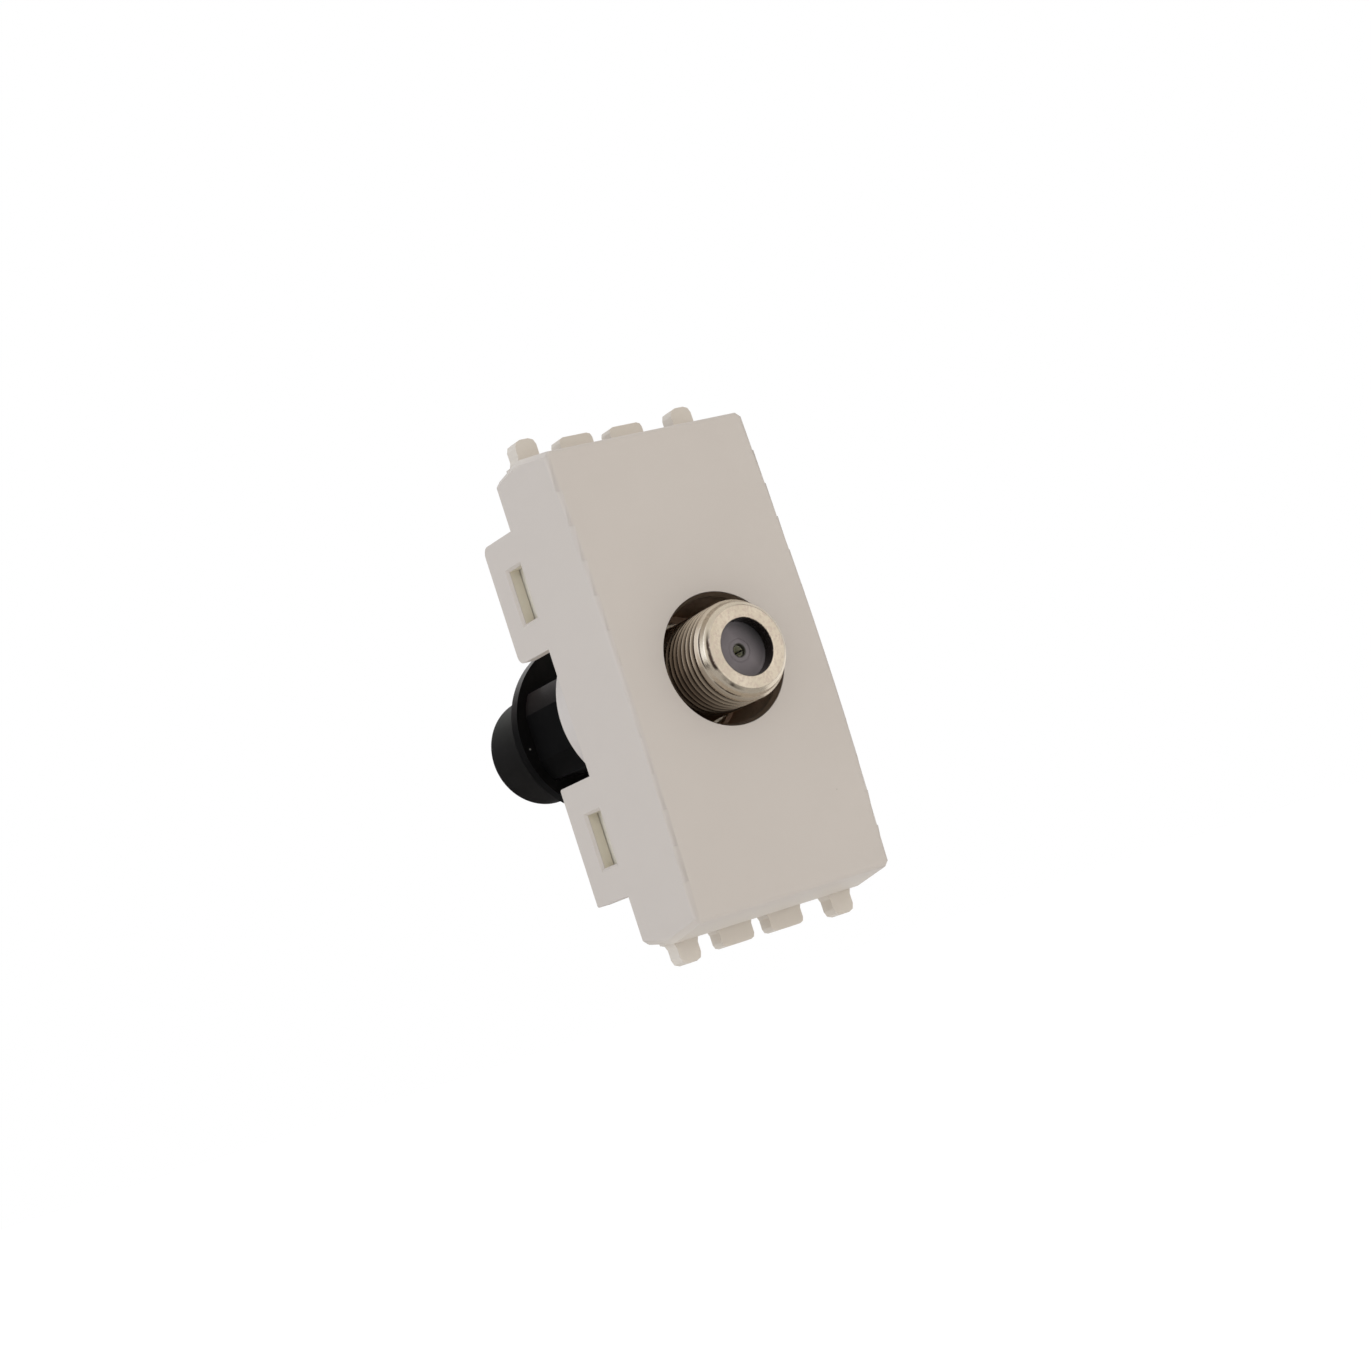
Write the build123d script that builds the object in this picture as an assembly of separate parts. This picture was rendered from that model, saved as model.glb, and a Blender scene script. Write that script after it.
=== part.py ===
from build123d import *
import os

# Wall socket module for an aerial cable: a half-width white module with a threaded coaxial
# connector in its face, snap ears behind its sides and a black cable housing at its back.
# Millimetres. X runs along the module's width, +Y into the wall and +Z up.
# The origin is where the connector's axis meets the crown of the front face.

# Module body
module_width = 22.0
module_height = 44.8
face_bow = 0.95
body_depth = 11.0
crest_depth = 6.7
crest_rise = 0.9
back_rise = 0.2
crest_round = 1.5
edge_round = 0.45
corner_bevel = 0.5

# Walls and gaps of the white mouldings
face_wall = 1.8
side_wall = 1.3
end_wall = 1.5
snap_gap = 0.1
overlap = 0.4
past = 1.0

# Snap ears and their windows
ear_near = 6.2
ear_far = 17.8
ear_length = 6.05
upper_ear_corner = 0.9
lower_ear_corner = 0.25
window_length = 5.15
window_width = 2.7
window_setback = 0.3
window_bevel = 0.25

# Tabs on the top and the bottom: |x| from near to far, standing out by rise
outer_tab = dict(near=7.6, far=9.9, rise=2.3, front=7.35, corner=0.7)
inner_tab = dict(near=1.0, far=4.65, rise=2.04, front=8.2, corner=0.5)
tab_thickness = 1.75
tab_flare = 0.65
tab_steps = 2

# Rear base: a plate with a round collar, four tongues and stiffening ribs
base_recess = 0.3
base_thickness = 1.7
collar_wall = 0.8
collar_length = 6.0
tongue_wall = 1.2
tongue_inset = 0.6
tongue_length = 5.3
tongue_foot = 1.9
rib_width = 1.2
rib_rise = 2.6
rest_rib_depth = 1.1
rest_rib_near = 13.5
rest_rib_far = 19.5

# Coaxial connector, thread 3/8 inch
thread_radius = 4.7625
thread_gap = 0.05
thread_run = 0.7
barrel_out = 4.17
barrel_wall = 1.46
ring_drop = 0.9
ring_band = 1.35
shoulder_drop = 0.28
shoulder_back = 0.56
mouth_radius = 2.7
tail_step = 0.36
tail_length = 3.1
hex_wall = 0.24
hex_thickness = 2.3
hex_seat_depth = 0.8
hex_gap = 0.06
hex_bevel = 0.4
hex_turn = 13.0
corner_cut = 0.7
nut_wall = 0.79
nut_thickness = 2.2
nut_clearance = 0.19
washer_thickness = 0.5
washer_clearance = 0.35
washer_teeth = 6
washer_tooth_depth = 0.55
washer_tooth_width = 1.1

# Carrier: the brown tube that holds the connector in the collar and lines the hole in the face
lining_setback = 0.12
lining_bevel = 0.6
lining_wall = 0.25
lining_gap = 0.05
hex_clearance = 0.27
carrier_wall = 1.15
carrier_step = 0.6
carrier_gap = 0.15
carrier_setback = 0.25
carrier_inset = 0.2
boss_wall = 0.9
web_lead = 0.95
web_thickness = 2.5

# Insulators and centre contact
insulator_recess = 1.4
insulator_gap = 0.05
front_insulator_length = 5.8
rear_insulator_overlap = 5.4
rear_insulator_inset = 1.5
contact_radius = 0.9
contact_bore = 0.55
contact_gap = 0.08
contact_lip = 0.45
slit_width = 0.16
slit_length = 3.6

# Cable housing behind the collar: block, flange and nose
block_flat = 0.35
block_half_height = 4.4
block_length = 8.7
plug_gap = 0.1
flange_radius = 8.7
flange_thickness = 1.7
flange_bevel = 0.45
nose_radius = 5.5
nose_length = 11.7
nose_round = 2.2
nose_steps = 2
nose_wall = 0.8
nose_end_wall = 2.6
nose_gap = 0.1
spigot_length = 4.3
spigot_wall = 1.1

# Cable entry, for a cable that isn't part of the module
cable_radius = 3.45
cable_clearance = 0.15
seal_squeeze = 0.25
sleeve_wall = 0.45
sleeve_gap = 0.1
sleeve_lip = 0.4
sleeve_inset = 1.5
clamp_length = 2.4
clamp_slot = 0.8

# White mouldings, worked out from the values above
half_width = module_width / 2
half_height = module_height / 2
side_inner = half_width - side_wall
front_slope = crest_rise / (crest_depth - face_bow)
back_slope = (back_rise - crest_rise) / (body_depth - crest_depth)
base_back = body_depth - base_recess
base_front = base_back - base_thickness

# Carrier: the flange sets its front bore and the hole in the face, the nut sets its rear bore and
# with it the boss and the collar round it, and its step keeps it in front of the base plate
hex_flats = 2 * (thread_radius + hex_wall)
hex_corner = hex_flats / 3**0.5
lining_bore = hex_corner + hex_clearance
lining_radius = lining_bore + lining_wall
face_hole_radius = lining_radius + lining_gap
nut_flats = 2 * (thread_radius + nut_wall)
nut_corner = nut_flats / 3**0.5
carrier_bore = nut_corner + nut_clearance
carrier_radius = carrier_bore + carrier_wall
carrier_seat = carrier_radius + carrier_step
boss_bore = carrier_seat + carrier_gap
collar_bore = carrier_radius + carrier_gap
collar_radius = collar_bore + collar_wall
collar_back = body_depth + collar_length
carrier_front = face_wall + carrier_setback
carrier_back = collar_back - carrier_inset
web_front = base_front - web_lead
web_back = web_front + web_thickness

# Connector: its hexagonal flange sits in the front of the web and its nut pulls from behind
hex_back = web_front + hex_seat_depth
hex_front = hex_back - hex_thickness
nut_front = web_back + washer_thickness
nut_back = nut_front + nut_thickness
thread_end = nut_back + thread_run
barrel_end = thread_end + tail_length
barrel_bore = thread_radius - barrel_wall
barrel_tail_radius = thread_radius - tail_step
ring_radius = thread_radius - ring_drop
insulator_front = insulator_recess - barrel_out
front_insulator_end = insulator_front + front_insulator_length
contact_room = contact_radius + contact_gap

# Cable housing: it starts where the carrier ends
flange_front = carrier_back + block_length
flange_back = flange_front + flange_thickness
nose_end = flange_back + nose_length
spigot_radius = nose_radius - nose_wall - nose_gap
spigot_end = flange_back + spigot_length
cable_bore = spigot_radius - spigot_wall
sleeve_radius = cable_bore - sleeve_gap
lip_end = barrel_end + sleeve_lip
nose_mouth = cable_radius + cable_clearance
rear_insulator_end = flange_front - rear_insulator_inset


def end_height(y):
    """Height of the body's top surface above the axis, y behind the crown of the face."""
    if y < crest_depth:
        return half_height + front_slope * (y - face_bow)
    return half_height + crest_rise + back_slope * (y - crest_depth)


def turned(points):
    """A solid of revolution about Y from (radius, y) points, in order round its section."""
    with BuildSketch(Plane.XY) as section:
        with BuildLine():
            Polyline(*points, close=True)
        make_face()
    return revolve(section.sketch, Axis.Y)


def tube(inner, outer, start, end):
    """A tube about Y."""
    return turned([(inner, start), (outer, start), (outer, end), (inner, end)])


def rod(radius, start, end):
    """A round bar about Y."""
    return turned([(0, start), (radius, start), (radius, end), (0, end)])


def block(x_span, y_span, z_span):
    """A box between two limits on each axis."""
    spans = (x_span, y_span, z_span)
    sizes = [high - low for low, high in spans]
    middle = [(high + low) / 2 for low, high in spans]
    return Pos(*middle) * Box(*sizes)


def quarter(centre, radius, start, steps):
    """Points on a quarter circle from a start angle in degrees, in a few equal steps."""
    arc = CenterArc(centre, radius, start, 90)
    points = [arc @ (step / steps) for step in range(steps + 1)]
    return [(point.X, point.Y) for point in points]


def hex_prism(flats, start, end):
    """A hexagonal bar about Y with two of its corners on the X axis."""
    outline = Plane.XZ * RegularPolygon(flats / 2, 6, major_radius=False)
    return Pos(0, end, 0) * extrude(outline, amount=end - start)


def corners_at(outline, axis, place):
    """The corners of a flat outline that lie at one place along its first or second axis."""
    return outline.vertices().filter_by_position(axis, place - 0.01, place + 0.01)


def both_ends(piece):
    """The piece and its mirror image below the axis."""
    return piece + mirror(piece, Plane.XY)


def both_sides(piece):
    """The piece and its mirror image across the middle of the width."""
    return piece + mirror(piece, Plane.YZ)


def body_solid():
    """The outside of the white body: a bowed face, ends that swell to a crest, bevelled corners."""
    back_height = end_height(body_depth)
    crest_height = end_height(crest_depth)
    with BuildSketch(Plane.YZ) as outline:
        with BuildLine():
            ThreePointArc((face_bow, -half_height), (0, 0), (face_bow, half_height))
            Polyline(
                (face_bow, half_height),
                (crest_depth, crest_height),
                (body_depth, back_height),
                (body_depth, -back_height),
                (crest_depth, -crest_height),
                (face_bow, -half_height),
            )
        make_face()
        fillet(corners_at(outline, Axis.X, crest_depth), crest_round)
    body = extrude(outline.sketch, amount=half_width, both=True)
    sides = body.faces().filter_by(Plane.YZ)
    corners = [edge for edge in sides.edges() if abs(edge.center().Z) > half_height / 2]
    bevelled = chamfer(corners, corner_bevel)
    face = bevelled.faces().sort_by(Axis.Y)[0]
    return fillet(face.edges(), edge_round)


def cavity_solid():
    """The inside of the white body, open at the back."""
    front_y = face_wall + face_bow
    past_back = body_depth + past
    inner_front = end_height(front_y) - end_wall
    inner_crest = end_height(crest_depth) - end_wall
    inner_back = end_height(past_back) - end_wall
    with BuildSketch(Plane.YZ) as outline:
        with BuildLine():
            ThreePointArc((front_y, -inner_front), (face_wall, 0), (front_y, inner_front))
            Polyline(
                (front_y, inner_front),
                (crest_depth, inner_crest),
                (past_back, inner_back),
                (past_back, -inner_back),
                (crest_depth, -inner_crest),
                (front_y, -inner_front),
            )
        make_face()
    return extrude(outline.sketch, amount=side_inner, both=True)


def snap_ear(corner):
    """One ear in the plane of a side wall, with a window that a frame's hook drops into."""
    ear_back = body_depth + ear_length
    ear_middle = (ear_near + ear_far) / 2
    window_front = body_depth + window_setback
    with BuildSketch(Plane.YZ.offset(side_inner)) as outline:
        with Locations(((body_depth - overlap + ear_back) / 2, ear_middle)):
            Rectangle(ear_length + overlap, ear_far - ear_near)
        fillet(corners_at(outline, Axis.X, ear_back), corner)
    ear = extrude(outline.sketch, amount=side_wall)
    ear -= block(
        (side_inner - past, half_width + past),
        (window_front, window_front + window_width),
        (ear_middle - window_length / 2, ear_middle + window_length / 2),
    )
    outside = ear.faces().sort_by(Axis.X)[-1]
    return chamfer(outside.inner_wires()[0].edges(), window_bevel)


def end_tab(near, far, rise, front, corner):
    """One tab that stands out of the top, with flared feet and rounded tips."""
    half = (far - near) / 2
    root = end_height(front + tab_thickness / 2)
    reach = root + rise
    tip = quarter((half - corner, reach - corner), corner, 0, tab_steps)
    foot = quarter((half + tab_flare, root + tab_flare), tab_flare, 180, tab_steps)
    side = [*reversed(tip), *foot, (half + tab_flare, root - overlap)]
    other_side = [(-across, height) for across, height in reversed(side)]
    with BuildSketch(Plane.XZ) as outline:
        with BuildLine():
            Polyline(*side, *other_side, close=True)
        make_face()
    tab = extrude(outline.sketch, amount=tab_thickness)
    return Pos((near + far) / 2, front + tab_thickness, 0) * tab


def front_shell():
    """White front moulding: face, four walls, connector boss, ears and tabs."""
    shell = body_solid() - cavity_solid()
    shell += tube(boss_bore, boss_bore + boss_wall, face_wall - overlap, base_front - snap_gap)
    shell -= rod(face_hole_radius, -past, face_wall + face_bow)
    rest_rib = block(
        (side_inner - rest_rib_depth, side_inner + overlap),
        (face_wall, base_front),
        (rest_rib_near, rest_rib_far),
    )
    tabs = end_tab(**outer_tab) + end_tab(**inner_tab)
    shell += both_ends(both_sides(rest_rib + tabs))
    upper_ears = both_sides(snap_ear(upper_ear_corner))
    lower_ears = mirror(both_sides(snap_ear(lower_ear_corner)), Plane.XY)
    return shell + upper_ears + lower_ears


def base_plate():
    """The plate that closes the back, its ends tapered so that the shell snaps over them."""
    front_height = end_height(base_front) - end_wall - snap_gap
    back_height = end_height(base_back) - end_wall - snap_gap
    with BuildSketch(Plane.YZ) as outline:
        with BuildLine():
            Polyline(
                (base_front, front_height),
                (base_back, back_height),
                (base_back, -back_height),
                (base_front, -front_height),
                close=True,
            )
        make_face()
    return extrude(outline.sketch, amount=side_inner - snap_gap, both=True)


def base_tongue():
    """A tongue that backs one ear, with a sloping foot at its far end."""
    tongue_outer = side_inner - snap_gap
    tongue_back = body_depth + tongue_length
    near = ear_near + tongue_inset
    far = ear_far - tongue_inset
    with BuildSketch(Plane.YZ.offset(tongue_outer - tongue_wall)) as outline:
        with BuildLine():
            Polyline(
                (base_back - overlap, near),
                (tongue_back, near),
                (tongue_back, far),
                (base_back + tongue_foot, far),
                (base_back, far + tongue_foot),
                (base_back - overlap, far + tongue_foot),
                close=True,
            )
        make_face()
    return extrude(outline.sketch, amount=tongue_wall)


def rear_base():
    """White rear moulding: plate, collar for the carrier, tongues and ribs."""
    base = base_plate()
    base += tube(collar_bore, collar_radius, base_front, collar_back)
    rib_end = ear_far + tongue_foot
    rib = block(
        (-rib_width / 2, rib_width / 2),
        (base_back - overlap, base_back + rib_rise),
        (collar_radius - overlap, rib_end),
    )
    base += both_ends(rib + both_sides(base_tongue()))
    base -= rod(collar_bore, base_front - past, collar_back + past)
    return base


def connector_carrier():
    """Brown tube in the collar: its bevelled front lines the hole in the face, a web holds the
    connector and a hexagonal seat stops it turning."""
    shell = turned(
        [
            (lining_bore, lining_setback + lining_bevel),
            (lining_radius, lining_setback),
            (lining_radius, carrier_front),
            (carrier_seat, carrier_front),
            (carrier_seat, base_front),
            (carrier_radius, base_front),
            (carrier_radius, carrier_back),
            (carrier_bore, carrier_back),
            (carrier_bore, web_back),
            (thread_radius + thread_gap, web_back),
            (thread_radius + thread_gap, web_front),
            (lining_bore, web_front),
        ]
    )
    seat = hex_prism(hex_flats + 2 * hex_gap, web_front - past, hex_back)
    return shell - Rot(0, hex_turn, 0) * seat


def hex_flange():
    """The barrel's hexagonal flange, with its front corners turned to a cone."""
    cone = turned(
        [
            (hex_corner - corner_cut, hex_front),
            (hex_corner + past, hex_front),
            (hex_corner + past, hex_front + hex_bevel),
            (hex_corner, hex_front + hex_bevel),
        ]
    )
    inside = rod(thread_radius - overlap, hex_front - past, hex_back + past)
    flange = hex_prism(hex_flats, hex_front, hex_back) - cone - inside
    return Rot(0, hex_turn, 0) * flange


def coax_barrel():
    """Nickel-plated barrel: open mouth, rounded end ring, thread, hexagonal flange and plain tail."""
    barrel = turned(
        [
            (mouth_radius, -barrel_out),
            (ring_radius, -barrel_out),
            (thread_radius - shoulder_drop, shoulder_back - barrel_out),
            (thread_radius, ring_band - barrel_out),
            (thread_radius, thread_end),
            (barrel_tail_radius, thread_end),
            (barrel_tail_radius, barrel_end),
            (barrel_bore, barrel_end),
            (barrel_bore, insulator_front),
            (mouth_radius, insulator_front),
        ]
    )
    return barrel + hex_flange()


def rear_nut():
    """Hexagonal nut that pulls the barrel's flange into its seat in the web."""
    nut = hex_prism(nut_flats, nut_front, nut_back)
    return nut - rod(thread_radius + thread_gap, nut_front - past, nut_back + past)


def lock_washer():
    """Washer with teeth round its bore."""
    tooth_tip = thread_radius + thread_gap
    bore = tooth_tip + washer_tooth_depth
    washer = tube(bore, carrier_bore - washer_clearance, web_back, nut_front)
    tooth = block(
        (tooth_tip, bore + overlap),
        (web_back, nut_front),
        (-washer_tooth_width / 2, washer_tooth_width / 2),
    )
    for index in range(washer_teeth):
        washer += Rot(0, index * 360 / washer_teeth, 0) * tooth
    return washer


def front_insulator():
    """Grey insulator seen in the mouth, with the entry for the cable's centre wire."""
    outer = barrel_bore - insulator_gap
    lip = insulator_front + contact_lip
    return turned(
        [
            (contact_bore, insulator_front),
            (outer, insulator_front),
            (outer, front_insulator_end),
            (contact_room, front_insulator_end),
            (contact_room, lip),
            (contact_bore, lip),
        ]
    )


def rear_insulator():
    """Insulator that carries the contact through the tail and the braid sleeve."""
    start = barrel_end - rear_insulator_overlap
    outer = barrel_bore - insulator_gap
    inner = sleeve_radius - sleeve_wall - insulator_gap
    lip = rear_insulator_end - contact_lip
    return turned(
        [
            (contact_room, start),
            (outer, start),
            (outer, barrel_end),
            (inner, barrel_end),
            (inner, rear_insulator_end),
            (contact_bore, rear_insulator_end),
            (contact_bore, lip),
            (contact_room, lip),
        ]
    )


def centre_contact():
    """Contact bar with a slit spring socket in each end."""
    front = insulator_front + contact_lip + contact_gap
    rear = rear_insulator_end - contact_lip - contact_gap
    contact = turned(
        [
            (contact_bore, front),
            (contact_radius, front),
            (contact_radius, rear),
            (contact_bore, rear),
            (contact_bore, rear - slit_length),
            (0, rear - slit_length),
            (0, front + slit_length),
            (contact_bore, front + slit_length),
        ]
    )
    reach = contact_radius + past
    slit = (-slit_width / 2, slit_width / 2)
    for start in (front - past, rear - slit_length):
        span = (start, start + slit_length + past)
        contact -= block((-reach, reach), span, slit)
        contact -= block(slit, span, (-reach, reach))
    return contact


def braid_sleeve():
    """Tube that carries the cable's screen from the barrel's tail into the housing."""
    inner = sleeve_radius - sleeve_wall
    end = spigot_end - sleeve_inset
    return turned(
        [
            (inner, barrel_end),
            (barrel_tail_radius, barrel_end),
            (barrel_tail_radius, lip_end),
            (sleeve_radius, lip_end),
            (sleeve_radius, end),
            (inner, end),
        ]
    )


def rear_body():
    """Black housing: a plug in the carrier, a flat-sided block, a finger flange and a spigot."""
    flat = carrier_radius - block_flat
    housing = rod(carrier_bore - plug_gap, thread_end + plug_gap, carrier_back)
    housing += rod(carrier_radius, carrier_back, flange_front) & block(
        (-flat, flat),
        (carrier_back, flange_front),
        (-block_half_height, block_half_height),
    )
    housing += turned(
        [
            (0, flange_front),
            (flange_radius, flange_front),
            (flange_radius, flange_back - flange_bevel),
            (flange_radius - flange_bevel, flange_back),
            (spigot_radius, flange_back),
            (spigot_radius, spigot_end),
            (0, spigot_end),
        ]
    )
    housing -= rod(barrel_tail_radius + plug_gap, thread_end, lip_end)
    return housing - rod(cable_bore, lip_end - past, spigot_end + past)


def nose_cap():
    """Black nose pushed over the spigot, rounded at its end and open for the cable."""
    end = quarter((nose_radius - nose_round, nose_end - nose_round), nose_round, 0, nose_steps)
    nose = turned([(0, flange_back), (nose_radius, flange_back), *end, (0, nose_end)])
    nose -= rod(spigot_radius + nose_gap, flange_back - past, nose_end - nose_end_wall)
    return nose - rod(nose_mouth, flange_back, nose_end + past)


def clamp_ring():
    """Split metal ring that grips the cable's screen behind the spigot."""
    end = spigot_end + clamp_length
    ring = tube(nose_mouth, spigot_radius, spigot_end, end)
    slot = (-clamp_slot / 2, clamp_slot / 2)
    return ring - block((0, spigot_radius + past), (spigot_end - past, end + past), slot)


def cable_seal():
    """Rubber ring between the clamp ring and the end of the nose."""
    start = spigot_end + clamp_length
    end = nose_end - nose_end_wall
    seal_bore = cable_radius - seal_squeeze
    return turned(
        [
            (seal_bore, start),
            (spigot_radius, start),
            (spigot_radius, end),
            (seal_bore, end),
        ]
    )


pieces = {
    "front_shell": front_shell,
    "rear_base": rear_base,
    "connector_carrier": connector_carrier,
    "coax_barrel": coax_barrel,
    "rear_nut": rear_nut,
    "lock_washer": lock_washer,
    "front_insulator": front_insulator,
    "rear_insulator": rear_insulator,
    "centre_contact": centre_contact,
    "braid_sleeve": braid_sleeve,
    "rear_body": rear_body,
    "nose_cap": nose_cap,
    "clamp_ring": clamp_ring,
    "cable_seal": cable_seal,
}

os.makedirs("parts", exist_ok=True)
for name, build in pieces.items():
    solid = build()
    solid.label = name
    export_step(solid, f"parts/{name}.step")
    print(name, round(solid.volume, 2), "mm3")
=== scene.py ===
import math
import bpy
import bmesh
import numpy as np
from mathutils import Matrix, Vector


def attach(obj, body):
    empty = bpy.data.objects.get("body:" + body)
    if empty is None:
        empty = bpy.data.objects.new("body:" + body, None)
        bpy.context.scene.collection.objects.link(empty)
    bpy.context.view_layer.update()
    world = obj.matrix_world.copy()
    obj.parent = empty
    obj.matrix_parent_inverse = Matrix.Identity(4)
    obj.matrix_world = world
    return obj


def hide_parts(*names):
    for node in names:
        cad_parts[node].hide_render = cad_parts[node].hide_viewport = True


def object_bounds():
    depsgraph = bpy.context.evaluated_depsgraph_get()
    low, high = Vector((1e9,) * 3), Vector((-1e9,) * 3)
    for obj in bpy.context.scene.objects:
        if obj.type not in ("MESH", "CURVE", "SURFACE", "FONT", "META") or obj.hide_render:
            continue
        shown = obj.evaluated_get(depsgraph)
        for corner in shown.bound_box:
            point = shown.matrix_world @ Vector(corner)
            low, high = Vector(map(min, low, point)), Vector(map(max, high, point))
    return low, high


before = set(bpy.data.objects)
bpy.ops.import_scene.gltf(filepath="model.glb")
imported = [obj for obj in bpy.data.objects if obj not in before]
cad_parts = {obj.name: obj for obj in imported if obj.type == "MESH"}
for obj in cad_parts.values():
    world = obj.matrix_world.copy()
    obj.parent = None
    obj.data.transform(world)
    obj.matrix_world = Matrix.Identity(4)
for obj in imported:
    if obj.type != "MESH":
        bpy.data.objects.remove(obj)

cadBox = [list(corner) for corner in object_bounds()]
mm = 0.001  # lengths below are in millimetres, the scene is in metres
perMetre = 1000  # millimetres in a metre, for shader values
print("frame loaded:", len(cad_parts), "nodes")


def wrapGrid(name, points):
    # points is an array (rows, columns, 3) in millimetres, closed both ways, row after row round the
    # section and column after column round the axis; the faces turn outwards when the volume is positive
    mergeDistance, sliverLength = 2e-7, 1e-7
    rows, columns = points.shape[:2]
    i, k = np.meshgrid(np.arange(rows), np.arange(columns), indexing="ij")
    down, right = (i + 1) % rows, (k + 1) % columns
    quads = np.stack([i * columns + k, i * columns + right, down * columns + right, down * columns + k], -1)
    quads = quads.reshape(-1, 4)
    flat = points.reshape(-1, 3) * mm
    a, b, c, d = (flat[quads[:, corner]] for corner in range(4))
    volume = np.einsum("ij,ij->", a, np.cross(b, c)) + np.einsum("ij,ij->", a, np.cross(c, d))
    if volume < 0:
        quads = quads[:, ::-1]
    mesh = bpy.data.meshes.new(name)
    mesh.vertices.add(len(flat))
    mesh.vertices.foreach_set("co", flat.ravel())
    mesh.loops.add(quads.size)
    mesh.loops.foreach_set("vertex_index", quads.ravel().astype(np.int32))
    mesh.polygons.add(len(quads))
    mesh.polygons.foreach_set("loop_start", np.arange(0, quads.size, 4, dtype=np.int32))
    mesh.update(calc_edges=True)
    work = bmesh.new()
    work.from_mesh(mesh)
    bmesh.ops.remove_doubles(work, verts=work.verts, dist=mergeDistance)
    bmesh.ops.dissolve_degenerate(work, edges=work.edges, dist=sliverLength)
    work.to_mesh(mesh)
    work.free()
    mesh.polygons.foreach_set("use_smooth", np.ones(len(mesh.polygons), dtype=bool))
    mesh.update()
    piece = bpy.data.objects.new(name, mesh)
    bpy.context.scene.collection.objects.link(piece)
    return piece


def roundedSection(corners, arcSteps, support=0.12):
    # closed section from (radius, along, rounding) corners: each corner becomes an arc that touches both
    # sides, tangent length = rounding / tan(half the corner's angle), and each straight side keeps one
    # extra point close to each of its ends
    mostReach = 0.48  # share of a side that one arc may take
    spots = np.array([corner[:2] for corner in corners], float)
    rounding = np.array([corner[2] for corner in corners], float)
    section = []
    for spot, before, after, size in zip(spots, np.roll(spots, 1, 0), np.roll(spots, -1, 0), rounding):
        lengthBefore, lengthAfter = np.linalg.norm(before - spot), np.linalg.norm(after - spot)
        toBefore, toAfter = (before - spot) / lengthBefore, (after - spot) / lengthAfter
        half = math.acos(np.clip(toBefore @ toAfter, -1, 1)) / 2
        reach = min(size / math.tan(half), mostReach * lengthBefore, mostReach * lengthAfter)
        size = reach * math.tan(half)
        middle = spot + (toBefore + toAfter) / np.linalg.norm(toBefore + toAfter) * size / math.sin(half)
        start, stop = spot + toBefore * reach - middle, spot + toAfter * reach - middle
        share = np.linspace(0, 1, arcSteps + 1)[:, None]
        arc = start * (1 - share) + stop * share
        arc *= size / np.linalg.norm(arc, axis=1, keepdims=True)
        section.append(middle + arc)
    filled = []
    for arc, following in zip(section, section[1:] + section[:1]):
        gap = following[0] - arc[-1]
        length = np.linalg.norm(gap)
        filled.append(arc)
        if length > 3 * support:
            filled.append(arc[-1] + gap * np.array([[support / length], [1 - support / length]]))
    return np.concatenate(filled)


def refined(section, low, high, step):
    # the same section with its straight sides between two places along the axis cut into short steps
    slack = 1e-6
    following = np.roll(section, -1, 0)
    pieces = []
    for start, stop in zip(section, following):
        inside = min(start[1], stop[1]) > low - slack and max(start[1], stop[1]) < high + slack
        count = max(1, math.ceil(np.linalg.norm(stop - start) / step)) if inside else 1
        pieces.append(start + (stop - start) * (np.arange(count) / count)[:, None])
    return np.concatenate(pieces)


def turned(section, columns):
    # point(i, k) = (r_i cos a_k, y_i, r_i sin a_k) with a_k = 2 pi k / columns
    angle = np.arange(columns) * 2 * math.pi / columns
    radius, along = section[:, :1], section[:, 1:]
    return np.stack([radius * np.cos(angle), along + 0 * angle, radius * np.sin(angle)], -1)


def finishPiece(piece, material, node):
    piece.data.materials.clear()
    piece.data.materials.append(material)
    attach(piece, "root")
    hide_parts(node)


def fillInputs(tree, node, values):
    # joins an input to a socket, or sets it to a number, a vector or a colour of three shares
    for key, value in values.items():
        if isinstance(value, bpy.types.NodeSocket):
            tree.links.new(value, node.inputs[key])
        elif node.inputs[key].type == "RGBA":
            node.inputs[key].default_value = (*value, 1)
        else:
            node.inputs[key].default_value = value


def addNode(tree, kind, values, **settings):
    node = tree.nodes.new(kind)
    for name, setting in settings.items():
        setattr(node, name, setting)
    fillInputs(tree, node, values)
    return node


def mathNode(tree, operation, *values, clamp=False):
    node = addNode(tree, "ShaderNodeMath", dict(enumerate(values)), operation=operation, use_clamp=clamp)
    return node.outputs[0]


def product(tree, first, *others):
    for other in others:
        first = mathNode(tree, "MULTIPLY", first, other)
    return first


def noise(tree, place, scale, detail):
    return addNode(tree, "ShaderNodeTexNoise", {"Vector": place, "Scale": scale, "Detail": detail}).outputs[0]


def mixColour(tree, mask, first, second):
    # the first colour where the mask is 0, the second where it is 1
    return addNode(tree, "ShaderNodeMix", {0: mask, 6: first, 7: second}, data_type="RGBA").outputs[2]


def alongDirection(tree, place, direction):
    # dot product of the place with the direction, in metres
    node = addNode(tree, "ShaderNodeVectorMath", {0: place, 1: direction}, operation="DOT_PRODUCT")
    return node.outputs["Value"]


def arrange(tree, columnWidth=230, rowHeight=190):
    # column of a node = 1 + the largest column of the nodes that it feeds, and rows fill from the top
    column = dict.fromkeys(tree.nodes.keys(), 0)
    for _ in column:
        for link in tree.links:
            source, target = link.from_node.name, link.to_node.name
            column[source] = max(column[source], column[target] + 1)
    filledRows = {}
    for name, number in column.items():
        row = filledRows.get(number, 0)
        tree.nodes[name].location = (-columnWidth * number, -rowHeight * row)
        filledRows[number] = row + 1


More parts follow.
